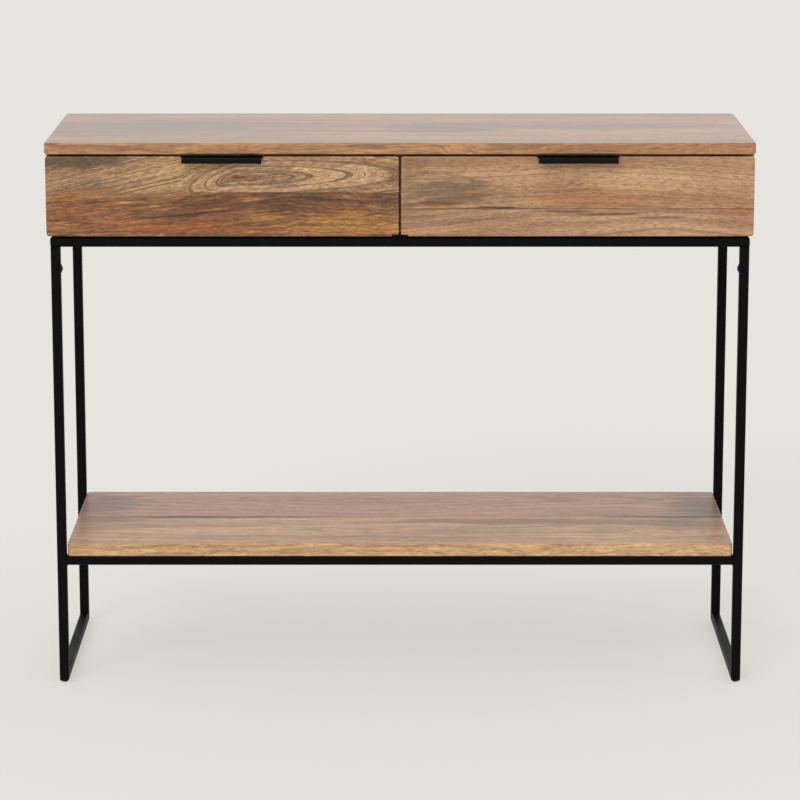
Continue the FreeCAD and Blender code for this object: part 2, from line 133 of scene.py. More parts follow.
boxBoard = dict(plainMango, light="#d9b88c", dark="#c7a074", warm="#cfa36c", mineral=0.1, mottle=0.15,
                lacquer=0.0, rough=0.58)
boardLooks = {
    "top": dict(
        plainMango, face="top", seed=4.0, pith=(-260.0, 0.0, 830.0), slope=(0.05, -0.04), cone=(0.03, 0.04),
        wander=30.0, ring=20.0, light="#c58a58", dark="#8e5f3a", warm="#b06a36", figure=0.6, pores=0.4,
        streaks=0.65, lacquer=0.6,
        patches=[(65, 0, 100, 70, 0.7, "#5d4535"), (-260, 0, 30, 20, 0.6, "#5d3f2c"),
                 (-400, 20, 250, 120, 0.5, "#6d4d3a"), (420, 60, 140, 40, 0.4, "#7d5f4d"),
                 # the long pale strip along the front edge, at -172 across, is painted light: it makes the
                 # front edge lighter and more orange than the top face of the same board
                 (330, -150, 90, 30, 0.45, "#6f4c30"), (0, -172, 3000, 12, 0.75, "#d59b65"),
                 (420, -172, 300, 12, 0.5, "#a06c40")]),
    "leftFrontUpper": dict(
        drawerFront, seed=11.0, pith=(-251.0, 817.0, -166.0), slope=(0.23, 0.02), cone=(0.34, 0.10),
        coneEnd=30.0, wander=6.0, ring=6.2, light="#e2b689", dark="#b89069", figure=0.55, lines=0.75,
        lineWidth=0.035, warmth=0.25, streaks=0.2, mineral=0.3, mottle=0.35, fibre=0.75,
        fibreSize=(9.091, 1.923),
        patches=[(-495, 842, 85, 12, 0.75, "#50463c"), (-350, 825, 70, 25, 0.6, "#d2a873"),
                 (-490, 800, 60, 16, 0.5, "#7c5f45"), (-251, 817, 45, 10, 0.5, "#94643c"),
                 (-251, 817, 14, 2.4, 0.9, "#8a4312"), (-190, 815, 35, 22, 0.45, "#7f654a"),
                 (-90, 820, 70, 20, 0.5, "#d8b187"), (-10, 820, 12, 30, 0.4, "#7d6346")]),
    "leftFrontLower": dict(
        drawerFront, seed=17.0, pith=(-160.0, 778.0, -170.0), slope=(0.07, -0.03), cone=(0.07, 0.25),
        wander=14.0, ring=7.5, light="#cb8a4c", dark="#98643a", warm="#b1602c", warmth=0.6, figure=0.5,
        lines=0.5, lineWidth=0.035, streaks=0.9, streakSize=(50.0, 4.348), streakColour="#68432a",
        paleStreak="#e4b47e", mineral=0.8, mineralSize=(166.7, 5.882), mineralColour="#4a2d18",
        mottle=0.25, fibre=0.8, fibreSize=(11.11, 1.923), rimSize=(62.5, 5.263), rim=4.6, seam=791.7,
        matched=(-345.0, -315.0, 12.0),
        patches=[(-511, 765, 35, 18, 0.35, "#a85c38"), (-300, 778, 100, 10, 0.5, "#643a18"),
                 (-330, 738, 120, 10, 0.6, "#bd6a33"), (-180, 785, 50, 7, 0.5, "#684a2f"),
                 (-150, 771, 60, 12, 0.45, "#5d3d24"), (-85, 744, 80, 12, 0.85, "#c99242"),
                 (-238, 789, 10, 3, 0.6, "#c0642c"), (-70, 788, 12, 3, 0.6, "#c0642c"),
                 (-220, 755, 30, 6, 0.6, "#cf9a5c"), (-460, 752, 60, 14, 0.5, "#bf8153"),
                 (-35, 776, 40, 12, 0.4, "#7d5f44")]),
    "rightFrontUpper": dict(
        drawerFront, seed=23.0, pith=(300.0, 700.0, -50.0), cone=(0.04, 0.05), ring=14.0, light="#cda27a",
        dark="#b48a66", figure=0.25, mineral=0.12, streaks=0.12, warmth=0.3, lines=0.25, mottle=0.15,
        fibre=0.45, fibreSize=(8.333, 1.923), pores=0.45, rimSize=(45.45, 6.667), rim=2.4,
        patches=[(80, 793, 85, 28, 0.75, "#70563f"), (20, 840, 30, 10, 0.5, "#80654c"),
                 (20, 800, 40, 30, 0.4, "#86694d"), (50, 775, 45, 5, 0.6, "#5f4730"),
                 (250, 800, 60, 20, 0.3, "#94704e"), (59, 770, 30, 3.4, 0.7, "#c27c30"),
                 (145, 769.5, 45, 2.2, 0.9, "#4e3726"), (380, 810, 120, 22, 0.45, "#e0b88a"),
                 (260, 785, 50, 10, 0.35, "#b0764c"), (300, 843, 100, 5, 0.4, "#8a6547")]),
    "rightFrontLower": dict(
        drawerFront, seed=29.0, pith=(400.0, 690.0, -100.0), cone=(0.06, 0.07), wander=12.0, light="#d0a37e",
        dark="#b48a69", figure=0.35, mineral=0.2, streaks=0.2, mottle=0.18, fibre=0.42,
        fibreSize=(8.333, 1.923), pores=0.4, seam=766.0, glue=0.7,
        patches=[(518, 762, 40, 5, 0.7, "#b36a3c"), (260, 763.5, 60, 2.2, 0.7, "#5b4130"),
                 (330, 759, 45, 2.2, 0.7, "#5b4130"), (390, 754, 45, 2.2, 0.6, "#5b4130"),
                 (100, 745, 80, 12, 0.3, "#8f6a4c")]),
    "shelfFront": dict(
        shelfPlank, seed=37.0, pith=(250.0, -80.0, 190.0), cone=(0.03, 0.06), light="#deae7d",
        dark="#c0936a", warm="#d39560", mineral=0.2,
        patches=[(200, -20, 250, 25, 0.6, "#6a5548"), (-470, -10, 70, 30, 0.6, "#5a4334"),
                 # the dark strips at 4.5 across are painted shade in the groove between the two planks, with
                 # a pale orange strip between them on the same line
                 (460, -30, 70, 40, 0.5, "#6d4d38"), (-300, 4.5, 260, 4.5, 0.95, "#35241a"),
                 (130, 4, 300, 6, 0.95, "#e0a862"), (470, 4.5, 120, 4.5, 0.95, "#35241a"),
                 # the pale strip along the front edge, at -166 across, is painted light: it makes the
                 # plank's front edge lighter than its top face
                 (0, -166, 3000, 12, 0.4, "#ecc490")]),
    "shelfRear": dict(
        shelfPlank, seed=43.0, pith=(-100.0, 120.0, 160.0), light="#c8977a", dark="#a07a64",
        warm="#b38069", mineral=0.25,
        # the two dark patches are painted shade: the rear plank is darkened at both ends, towards the rear
        # corners
        patches=[(-500, 90, 60, 90, 0.6, "#54402f"), (500, 90, 70, 90, 0.7, "#54402f"),
                 # the dark strips at 9 across are painted shade in the groove between the two planks, with a
                 # paler orange strip between them on the same line
                 (-300, 9, 260, 5, 0.95, "#35241a"), (130, 8.5, 300, 4, 0.8, "#c98d52"),
                 (470, 9, 120, 5, 0.95, "#35241a")]),
    "sidesUpper": dict(
        plainMango, face="side", seed=51.0, pith=(40.0, 800.0, 530.0), slope=(0.06, -0.05),
        cone=(0.16, 0.10), wander=8.0, ring=9.0, light="#cfa478", dark="#a8825a", mottle=0.4,
        streaks=0.25, lines=0.5,
        patches=[(-90, 835, 60, 14, 0.5, "#6c5541"), (120, 790, 50, 12, 0.4, "#8a6344")]),
    "sidesLower": dict(
        plainMango, face="side", seed=63.0, pith=(-50.0, 700.0, 500.0), cone=(0.10, 0.14), ring=10.0,
        light="#cb9a6b", dark="#a57750", mottle=0.4, streaks=0.3, seam=778.0,
        patches=[(50, 750, 70, 12, 0.5, "#7a5334")]),
    "caseBottom": caseBoard,
    "divider": dict(caseBoard, face="side", pith=(0.0, 780.0, 0.0)),
    "boxAcross": dict(boxBoard, seed=57.0, pith=(0.0, 750.0, 300.0)),
    "boxAlong": dict(boxBoard, face="side", seed=91.0, pith=(0.0, 750.0, 350.0)),
}
# which of X, Y and Z runs along the grain, across the board and through it
boardAxes = {"front": (0, 2, 1), "top": (0, 1, 2), "side": (1, 2, 0)}


def boardPlace(tree, look):
    # a point's place in millimetres, and how far it is along, across and through the board
    place = addNode(tree, "TexCoord", out="Object")
    place = addNode(tree, "VectorMath", {0: place, "Scale": 1000.0}, operation="SCALE")
    axes = addNode(tree, "SeparateXYZ", {0: place}).node.outputs
    return place, [axes[k] for k in boardAxes[look["face"]]]


def grain(tree, place, look, size, apart, detail, rough=0.5):
    # noise drawn out along the grain; apart is what sets one layer of a board off from the others
    scale = (1.0 / size[0], 1.0 / size[1], 1.0 / size[1])
    moved = addNode(tree, "Mapping", {"Vector": place, "Scale": scale,
                                      "Location": (look["seed"] + apart, apart * 0.7, -look["seed"])})
    return addNode(tree, "TexNoise", {"Vector": moved, "Scale": 1.0, "Detail": detail, "Roughness": rough})


def growthRings(tree, left, right, sideways, deep, look):
    # broad bands and fine lines that follow the distance from the pith line, which falls away from
    # the face on both sides: distance = sqrt(sideways^2 + (|deep| - |pith depth| + fall)^2)
    fall = addNode(tree, "Math", {0: left, 1: -look["cone"][0]}, operation="MULTIPLY")
    fall = addNode(tree, "Math", {0: fall, 1: look["coneEnd"]}, operation="MINIMUM")
    fall = addNode(tree, "Math", {0: right, 1: look["cone"][1], 2: fall}, operation="MULTIPLY_ADD")
    inward = addNode(tree, "Math", {0: deep}, operation="ABSOLUTE")
    inward = addNode(tree, "Math", {0: inward, 1: abs(look["pith"][2])}, operation="SUBTRACT")
    inward = addNode(tree, "Math", {0: inward, 1: fall}, operation="ADD")
    squared = addNode(tree, "Math", {0: inward, 1: inward}, operation="MULTIPLY")
    squared = addNode(tree, "Math", {0: sideways, 1: sideways, 2: squared}, operation="MULTIPLY_ADD")
    distance = addNode(tree, "Math", {0: squared}, operation="SQRT")
    noises = []
    # one band to a ring, and about two fine lines to a ring where the second noise crosses its middle
    for perRing, detail, rough in ((1.0, 3.0, 0.6), (2.2, 1.0, 0.5)):
        counted = addNode(tree, "Math", {0: distance, 1: perRing / look["ring"]}, operation="MULTIPLY")
        noises.append(addNode(tree, "TexNoise", {"W": counted, "Scale": 1.0, "Detail": detail,
                                                 "Roughness": rough}, noise_dimensions="1D"))
    bands, crossing = noises
    fromLine = addNode(tree, "Math", {0: crossing, 1: 0.5}, operation="SUBTRACT")
    return bands, addNode(tree, "Math", {0: fromLine}, operation="ABSOLUTE")


def patchReach(tree, along, across, ragged, patch):
    # distance from a soft oval patch's middle, counted in its half sizes, with a ragged rim
    middleAlong, middleAcross, halfLong, halfWide = patch[:4]
    x = addNode(tree, "Math", {0: along, 1: 1.0 / halfLong, 2: -middleAlong / halfLong},
                operation="MULTIPLY_ADD")
    y = addNode(tree, "Math", {0: across, 1: 1.0 / halfWide, 2: -middleAcross / halfWide},
                operation="MULTIPLY_ADD")
    squared = addNode(tree, "Math", {0: y, 1: y}, operation="MULTIPLY")
    squared = addNode(tree, "Math", {0: x, 1: x, 2: squared}, operation="MULTIPLY_ADD")
    reach = addNode(tree, "Math", {0: squared}, operation="SQRT")
    return addNode(tree, "Math", {0: reach, 1: ragged}, operation="ADD")


def woodFigure(tree, look):
    # the colour, relief and fibre pattern of one board
    here, (along, across, deep) = boardPlace(tree, look)
    seed = look["seed"]

    # the grain line sways, and climbs or drops away from the heart of the figure on either side
    offset = addNode(tree, "Math", {0: along, 1: look["pith"][0]}, operation="SUBTRACT")
    left = addNode(tree, "Math", {0: offset, 1: 0.0}, operation="MINIMUM")
    right = addNode(tree, "Math", {0: offset, 1: 0.0}, operation="MAXIMUM")
    line = addNode(tree, "Math", {0: left, 1: look["slope"][0], 2: look["pith"][1]},
                   operation="MULTIPLY_ADD")
    line = addNode(tree, "Math", {0: right, 1: look["slope"][1], 2: line}, operation="MULTIPLY_ADD")
    swayLong, swayWide = look["swaySize"]
    broad = addNode(tree, "Mapping", {"Vector": here, "Location": (seed, -seed, seed * 0.7),
                                      "Scale": (1.0 / swayLong, 1.0 / swayWide, 1.0 / swayWide)})
    sway = addNode(tree, "TexNoise", {"Vector": broad, "Scale": 1.0, "Detail": 3.0, "Roughness": 0.45})
    sway = addNode(tree, "Math", {0: sway, 1: 2.0 * look["wander"], 2: -look["wander"]},
                   operation="MULTIPLY_ADD")
    sideways = addNode(tree, "Math", {0: across, 1: line}, operation="SUBTRACT")
    sideways = addNode(tree, "Math", {0: sideways, 1: sway}, operation="ADD")
    place = addNode(tree, "CombineXYZ", {0: along, 1: sideways, 2: deep})

    bands, fromLine = growthRings(tree, left, right, sideways, deep, look)
    drift = grain(tree, place, look, look["driftSize"], 7.7, 3.0)
    warmth = grain(tree, place, look, look["warmSize"], 12.4, 3.0)
    streaks = grain(tree, place, look, look["streakSize"], 16.0, 4.0, 0.6)
    mottle = grain(tree, place, look, look["mottleSize"], 19.0, 3.0, 0.6)
    mineral = grain(tree, place, look, look["mineralSize"], 21.0, 4.0, 0.6)
    rim = grain(tree, place, look, look["rimSize"], 25.0, 4.0, 0.6)
    fibre = grain(tree, place, look, look["fibreSize"], 30.0, 3.0, 0.65)
    pores = grain(tree, place, look, look["poreSize"], 41.0, 1.0)

    # each layer of colour: its pattern, the values where it starts and is full, strength, colour
    layers = [
        (drift, 0.38, 0.64, 1.0, look["dark"]),
        (warmth, 0.48, 0.68, look["warmth"], look["warm"]),
        (bands, 0.42, 0.66, look["figure"], look["ringColour"]),
        (streaks, 0.44, 0.66, look["streaks"], look["streakColour"]),
        (streaks, 0.46, 0.30, look["streaks"] * 0.6, look["paleStreak"]),
        (mottle, 0.45, 0.65, look["mottle"], look["streakColour"]),
    ]
    ragged = addNode(tree, "Math", {0: rim, 1: look["rim"], 2: -0.5 * look["rim"]},
                     operation="MULTIPLY_ADD")
    for patch in look["patches"]:
        strength, colour = patch[4:]
        layers.append((patchReach(tree, along, across, ragged, patch), 1.25, 0.35, strength, colour))
    layers.append((fromLine, look["lineWidth"], 0.0, look["lines"], look["lineColour"]))
    layers.append((mineral, 0.55, 0.70, look["mineral"], look["mineralColour"]))
    colour = linear(look["light"])
    for pattern, start, full, strength, shade in layers:
        share = addNode(tree, "MapRange", {0: pattern, 1: start, 2: full, 3: 0.0, 4: strength},
                        interpolation_type="SMOOTHSTEP")
        colour = addNode(tree, "Mix", {0: share, 6: colour, 7: linear(shade)}, out=2, data_type="RGBA")

    # fibres darken the wood between them, and the pores are dark dashes over it all
    share = addNode(tree, "MapRange", {0: fibre, 1: 0.3, 2: 0.7, 3: 0.0, 4: 1.0},
                    interpolation_type="SMOOTHSTEP")
    shade = addNode(tree, "Mix", {0: share, 6: linear(look["fibreColour"]), 7: linear("#ffffff")}, out=2,
                    data_type="RGBA")
    colour = addNode(tree, "Mix", {0: look["fibre"], 6: colour, 7: shade}, out=2, data_type="RGBA",
                     blend_type="MULTIPLY")
    pits = addNode(tree, "MapRange", {0: pores, 1: 0.60, 2: 0.68, 3: 0.0, 4: 1.0},
                   interpolation_type="SMOOTHSTEP")
    share = addNode(tree, "Math", {0: pits, 1: look["pores"]}, operation="MULTIPLY")
    colour = addNode(tree, "Mix", {0: share, 6: colour, 7: linear(look["poreColour"])}, out=2,
                     data_type="RGBA")

    # the surface stands a little proud on the bands and fibres and sinks at the pores
    relief = addNode(tree, "Math", {0: pits, 1: -0.8}, operation="MULTIPLY")
    relief = addNode(tree, "Math", {0: fibre, 1: 0.5, 2: relief}, operation="MULTIPLY_ADD")
    relief = addNode(tree, "Math", {0: bands, 1: 0.4, 2: relief}, operation="MULTIPLY_ADD")
    return colour, relief, fibre


def gluedEdge(tree, upper, lower, look):
    # two strips glued edge to edge, with a dark glue line that comes and goes along its length
    along, across, _ = boardPlace(tree, look)[1]
    bendLength, bendHeight = look["seamBend"]
    bend = addNode(tree, "TexNoise", {"W": along, "Scale": 1.0 / bendLength, "Detail": 1.0},
                   noise_dimensions="1D")
    level = addNode(tree, "Math", {0: bend, 1: bendHeight, 2: look["seam"]}, operation="MULTIPLY_ADD")
    above = addNode(tree, "Math", {0: across, 1: level}, operation="SUBTRACT")
    # where the two strips match well the joint can't be made out, and they run into each other
    sharp = look["seamSharp"]
    start, end, widest = look["matched"]
    blur = addNode(tree, "MapRange", {0: along, 1: start, 2: end, 3: widest, 4: sharp})
    below = addNode(tree, "Math", {0: blur, 1: -1.0}, operation="MULTIPLY")
    side = addNode(tree, "MapRange", {0: above, 1: below, 2: blur, 3: 0.0, 4: 1.0})
    colour = addNode(tree, "Mix", {0: side, 6: lower[0], 7: upper[0]}, out=2, data_type="RGBA")
    relief = addNode(tree, "Mix", {0: side, 2: lower[1], 3: upper[1]}, data_type="FLOAT")
    away = addNode(tree, "Math", {0: above}, operation="ABSOLUTE")
    glue = addNode(tree, "MapRange", {0: away, 1: 0.5 * sharp, 2: look["glueWidth"], 3: 1.0, 4: 0.0})
    breaks = addNode(tree, "TexNoise", {"W": along, "Scale": 1.0 / look["glueGap"], "Detail": 2.0},
                     noise_dimensions="1D")
    kept = addNode(tree, "MapRange", {0: breaks, 1: look["glueBreak"], 2: look["glueBreak"] + 0.2,
                                      3: 0.0, 4: look["glue"]})
    fade = addNode(tree, "MapRange", {0: blur, 1: sharp, 2: 5.0 * sharp, 3: 1.0, 4: 0.0})
    strength = addNode(tree, "Math", {0: glue, 1: kept}, operation="MULTIPLY")
    strength = addNode(tree, "Math", {0: strength, 1: fade}, operation="MULTIPLY")
    colour = addNode(tree, "Mix", {0: strength, 6: colour, 7: linear(look["glueColour"])}, out=2,
                     data_type="RGBA")
    return colour, relief, upper[2]


def mangoWood(name, look, lower=None):
    # one board, or an upper and a lower strip glued together
    material, tree = newMaterial(name)
    colour, relief, fibre = woodFigure(tree, look)
    if lower is not None:
        colour, relief, fibre = gluedEdge(tree, (colour, relief, fibre), woodFigure(tree, lower), lower)
    rough = addNode(tree, "MapRange", {0: fibre, 1: 0.2, 2: 0.8, 3: look["rough"] - 0.06,
                                       4: look["rough"] + 0.08})
    finishMaterial(tree, {"Base Color": colour, "Roughness": rough, "IOR": 1.5,
                          "Specular IOR Level": look["gloss"], "Coat Weight": look["lacquer"],
                          "Coat Roughness": look["lacquerRough"]}, relief, look["relief"])
    return material


def nodeMiddle(node, axis):
    low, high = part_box(node)
    return 500.0 * (low[axis] + high[axis])


# Birch plywood, rotary cut and sanded: pale faces with a wide lazy figure, and an edge of light
# and dark plies, 1.2 mm thick as in common 6 mm board.
plainPly = dict(plainMango, cone=(0.15, 0.12), wander=40.0, ring=30.0, light="#dcc196", dark="#cfae80",
                warm="#d0a673", warmth=0.3, figure=0.25, lines=0.15, streaks=0.15, mineral=0.05,
                mottle=0.1, pores=0.2, fibre=0.4, rough=0.62, relief=0.15, ply=1.2, plyColour="#8d6a46",
                plyStrength=0.6)
plyLooks = {
    "back": dict(plainPly, seed=81.0, pith=(100.0, 600.0, 250.0), middle=nodeMiddle("back_panel", 1)),
    "bottom": dict(plainPly, face="top", seed=85.0, pith=(0.0, 0.0, 700.0),
                   middle=nodeMiddle("left_drawer_bottom", 2)),
}


def plywood(name, look):
    material, tree = newMaterial(name)
    colour, relief, fibre = woodFigure(tree, look)
    deep = boardPlace(tree, look)[1][2]
    fromMiddle = addNode(tree, "Math", {0: deep, 1: look["middle"]}, operation="SUBTRACT")
    folded = addNode(tree, "Math", {0: fromMiddle, 1: 2.0 * look["ply"]}, operation="PINGPONG")
    dark = addNode(tree, "Math", {0: folded, 1: 0.5 * look["ply"]}, operation="LESS_THAN")
    share = addNode(tree, "Math", {0: dark, 1: look["plyStrength"]}, operation="MULTIPLY")
    colour = addNode(tree, "Mix", {0: share, 6: colour, 7: linear(look["plyColour"])}, out=2,
                     data_type="RGBA")
    rough = addNode(tree, "MapRange", {0: fibre, 1: 0.2, 2: 0.8, 3: look["rough"] - 0.05,
                                       4: look["rough"] + 0.05})
    finishMaterial(tree, {"Base Color": colour, "Roughness": rough, "IOR": 1.5}, relief, look["relief"])
    return material


woods = {
    "top": mangoWood("mango, satin lacquer, top", boardLooks["top"]),
    "leftFront": mangoWood("mango, satin lacquer, left front", boardLooks["leftFrontUpper"],
                           boardLooks["leftFrontLower"]),
    "rightFront": mangoWood("mango, satin lacquer, right front", boardLooks["rightFrontUpper"],
                            boardLooks["rightFrontLower"]),
    "shelfFront": mangoWood("mango, satin lacquer, front plank", boardLooks["shelfFront"]),
    "shelfRear": mangoWood("mango, satin lacquer, rear plank", boardLooks["shelfRear"]),
    "sides": mangoWood("mango, satin lacquer, case sides", boardLooks["sidesUpper"],
                       boardLooks["sidesLower"]),
    "caseBottom": mangoWood("mango, sanded, case bottom", boardLooks["caseBottom"]),
    "divider": mangoWood("mango, sanded, divider", boardLooks["divider"]),
    "boxAcross": mangoWood("mango, sanded, drawer box front and back", boardLooks["boxAcross"]),
    "boxAlong": mangoWood("mango, sanded, drawer box sides", boardLooks["boxAlong"]),
    "plyBack": plywood("birch plywood, sanded, back panel", plyLooks["back"]),
    "plyBottom": plywood("birch plywood, sanded, drawer bottoms", plyLooks["bottom"]),
}
print("woods made:", len(woods))

# Powder-coated mild steel: nearly black and matt, with the faint orange peel of a baked coating.
# The bolts are blackened instead, which looks the same but a little greyer and shinier.
# Sizes are millimetres from one dimple or cloud to the next.
plainCoat = {"dark": "#040404", "light": "#080707", "rough": 0.5, "gloss": 0.07, "peel": 1.11, "cloud": 71.4,
             "relief": 0.05}
coatLooks = {
    "frame": plainCoat,
    "handle": dict(plainCoat, dark="#050404", light="#0a0908", rough=0.45, gloss=0.1),
    "bolt": dict(plainCoat, dark="#0d0d0d", light="#171717", rough=0.4, gloss=0.25),
}


def powderCoat(name, look):
    material, tree = newMaterial(name)
    place = addNode(tree, "TexCoord", out="Object")
    peel = addNode(tree, "TexNoise", {"Vector": place, "Scale": 1000.0 / look["peel"], "Detail": 2.0})
    cloud = addNode(tree, "TexNoise", {"Vector": place, "Scale": 1000.0 / look["cloud"], "Detail": 4.0})
    colour = addNode(tree, "Mix", {0: cloud, 6: linear(look["dark"]), 7: linear(look["light"])}, out=2,
                     data_type="RGBA")
    rough = addNode(tree, "MapRange", {0: cloud, 1: 0.3, 2: 0.7, 3: look["rough"] - 0.06,
                                       4: look["rough"] + 0.08})
    finishMaterial(tree, {"Base Color": colour, "Roughness": rough, "IOR": 1.5,
                          "Specular IOR Level": look["gloss"]}, peel, look["relief"])
    return material


# Zinc-plated steel: bright, with fine streaks along its length from the rolls. The real ones are
# hundredths of a millimetre wide, drawn about 1 mm wide so that they show.
plainZinc = {"dark": "#9a9da1", "light": "#c3c5c7", "rough": 0.32, "streakSize": (83.3, 1.11),
             "relief": 0.03}
zincLooks = {
    "slide": plainZinc,
    "screw": dict(plainZinc, dark="#8d8f93", light="#b9bbbd", rough=0.3),
}


def zincPlate(name, look):
    material, tree = newMaterial(name)
    place = addNode(tree, "TexCoord", out="Object")
    long, wide = (1000.0 / size for size in look["streakSize"])
    drawn = addNode(tree, "Mapping", {"Vector": place, "Scale": (wide, long, wide)})
    streak = addNode(tree, "TexNoise", {"Vector": drawn, "Scale": 1.0, "Detail": 3.0})
    colour = addNode(tree, "Mix", {0: streak, 6: linear(look["dark"]), 7: linear(look["light"])}, out=2,
                     data_type="RGBA")
    rough = addNode(tree, "MapRange", {0: streak, 1: 0.3, 2: 0.7, 3: look["rough"] - 0.08,
                                       4: look["rough"] + 0.08})
    finishMaterial(tree, {"Base Color": colour, "Metallic": 1.0, "Roughness": rough}, streak, look["relief"])
    return material


# Moulded polythene and rubber: one colour, with the fine sparked grain of the mould. Spark is the
# millimetres from one grain to the next, about three times the real grain so that it shows.
plasticLooks = {
    "glide": {"dark": "#0e0e0f", "light": "#1b1b1c", "rough": 0.6, "spark": 0.667, "relief": 0.04},
    "bumper": {"dark": "#b9b6ae", "light": "#c9c6be", "rough": 0.5, "spark": 0.667, "relief": 0.04},
}


def moulded(name, look):
    material, tree = newMaterial(name)
    place = addNode(tree, "TexCoord", out="Object")
    spark = addNode(tree, "TexNoise", {"Vector": place, "Scale": 1000.0 / look["spark"], "Detail": 1.0})
    colour = addNode(tree, "Mix", {0: spark, 6: linear(look["dark"]), 7: linear(look["light"])}, out=2,
                     data_type="RGBA")
    finishMaterial(tree, {"Base Color": colour, "Roughness": look["rough"], "IOR": 1.5}, spark,
                   look["relief"])
    return material


metals = {
    "frame": powderCoat("mild steel, powder coated", coatLooks["frame"]),
    "handle": powderCoat("handle steel, powder coated", coatLooks["handle"]),
    "bolt": powderCoat("bolt steel, black oxide", coatLooks["bolt"]),
    "slide": zincPlate("sheet steel, zinc plated", zincLooks["slide"]),
    "screw": zincPlate("screw steel, zinc plated", zincLooks["screw"]),
}
plastics = {
    "glide": moulded("polythene, moulded", plasticLooks["glide"]),
    "bumper": moulded("soft rubber, moulded", plasticLooks["bumper"]),
}
print("metals and plastics made:", len(metals) + len(plastics))

finishes = {
    "top_panel": woods["top"], "left_drawer_front": woods["leftFront"],
    "right_drawer_front": woods["rightFront"], "shelf_front_plank": woods["shelfFront"],
    "shelf_rear_plank": woods["shelfRear"], "centre_divider": woods["divider"],
    "case_bottom": woods["caseBottom"], "back_panel": woods["plyBack"], "case_dowels": woods["boxAcross"],
    "leg_bolts": metals["bolt"], "frame_screws": metals["bolt"], "floor_glides": plastics["glide"],
    "drawer_bumpers": plastics["bumper"],
}
finishesByEnding = {
    "_side_panel": woods["sides"], "_inner_front": woods["boxAcross"], "_back": woods["boxAcross"],
    "_side": woods["boxAlong"], "_bottom": woods["plyBottom"], "_handle": metals["handle"],
    "_screws": metals["screw"], "_outer": metals["slide"], "_middle": metals["slide"],
    "_inner": metals["slide"],
}


def finishFor(node):
    # by its whole name, or else by how it ends; what is left is the steel base
    byEnding = [finish for ending, finish in finishesByEnding.items() if node.endswith(ending)]
    return finishes.get(node) or (byEnding + [metals["frame"]])[0]


for name, piece in nodes.items():
    piece.data.materials.clear()
    piece.data.materials.append(finishFor(name))
print("finishes on", len(nodes), "nodes")

# Weld beads: a round profile carried along the inner corner of a joint. Its radius swells and dips
# with the ripples of the weld and falls to a point at both ends, so that
# radius(u) = r * (1 + ripple * sin(2 pi n u)) * (1 - (2u - 1)^8), for u from 0 to 1 along it.
weldLook = {"radius": 0.0016, "ripple": 0.14, "ripples": 6, "inset": 0.0008, "steps": 36, "sides": 10}


def weldBead(start, end, look):
    start, end = np.array(start), np.array(end)
    ahead = (end - start) / np.linalg.norm(end - start)
    across = np.roll(np.abs(ahead), 1)
    up = np.cross(ahead, across)
    along = np.linspace(0.0, 1.0, look["steps"] + 2)[1:-1]
    turn = np.arange(look["sides"]) * 2.0 * np.pi / look["sides"]
    radius = look["radius"] * (1.0 + look["ripple"] * np.sin(2.0 * np.pi * look["ripples"] * along))
    radius = radius * (1.0 - (2.0 * along - 1.0) ** 8)
    spokes = np.cos(turn)[:, None] * across + np.sin(turn)[:, None] * up
    middles = start + along[:, None] * (end - start)
    rings = middles[:, None, :] + radius[:, None, None] * spokes[None, :, :]
    points = np.vstack([rings.reshape(-1, 3), start, end])

    rows, sides = look["steps"], look["sides"]
    row, side = np.meshgrid(np.arange(rows - 1), np.arange(sides), indexing="ij")
    corner = (row * sides + side).ravel()
    beside = (row * sides + (side + 1) % sides).ravel()
    quads = np.stack([corner, beside, beside + sides, corner + sides], 1)
    ring = np.arange(sides)
    nextRing = (ring + 1) % sides
    last = (rows - 1) * sides
    startCap = np.stack([nextRing, ring, np.full(sides, rows * sides)], 1)
    endCap = np.stack([last + ring, last + nextRing, np.full(sides, rows * sides + 1)], 1)
    return points, quads, np.vstack([startCap, endCap])


def weldLines(look):
    # every inner corner of the base where two tubes meet, as the two ends of its bead
    inset = look["inset"]
    legLow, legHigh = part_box("left_front_leg")
    frontY, rearY = legHigh.y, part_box("left_rear_leg")[0].y
    tube = legHigh.y - legLow.y
    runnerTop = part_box("left_floor_runner")[1].z
    railLow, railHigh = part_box("shelf_front_rail")
    sideLow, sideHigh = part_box("shelf_left_rail")
    ringLow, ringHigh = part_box("ring_left_rail")
    lines = []
    for hand in (1.0, -1.0):
        legOuter, legInner = hand * legLow.x, hand * legHigh.x
        sideOuter, sideInner = hand * sideLow.x, hand * sideHigh.x
        nudge = hand * inset
        for y, away in ((frontY, -1.0), (rearY, 1.0)):
            lines += [
                # leg to runner, then shelf rail to leg below it and behind it
                ((legOuter + nudge, y, runnerTop), (legInner - nudge, y, runnerTop)),
                ((legInner, y + away * inset, railLow.z), (legInner, y + away * (tube - inset), railLow.z)),
                ((legInner, y, railLow.z + inset), (legInner, y, railHigh.z - inset)),
                # the ring's corner, and the shelf's side rail below and on both sides
                ((legInner, y, ringLow.z + inset), (legInner, y, ringHigh.z - inset)),
                ((sideOuter + nudge, y, sideLow.z), (sideInner - nudge, y, sideLow.z)),
                ((sideOuter, y, sideLow.z + inset), (sideOuter, y, sideHigh.z - inset)),
                ((sideInner, y, sideLow.z + inset), (sideInner, y, sideHigh.z - inset)),
            ]
    return lines


def makeWelds(look):
    points, faces, count = [], [], 0
    for start, end in weldLines(look):
        beadPoints, quads, caps = weldBead(start, end, look)
        points.append(beadPoints)
        faces += (quads + count).tolist() + (caps + count).tolist()
        count += len(beadPoints)
    mesh = bpy.data.meshes.new("weld_beads")
    mesh.from_pydata(np.vstack(points).tolist(), [], faces)
    mesh.polygons.foreach_set("use_smooth", np.ones(len(faces), dtype=bool))
    mesh.materials.append(metals["frame"])
    beads = bpy.data.objects.new("weld_beads", mesh)
    bpy.context.scene.collection.objects.link(beads)
    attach(beads, "table")


makeWelds(weldLook)
print("weld beads made")

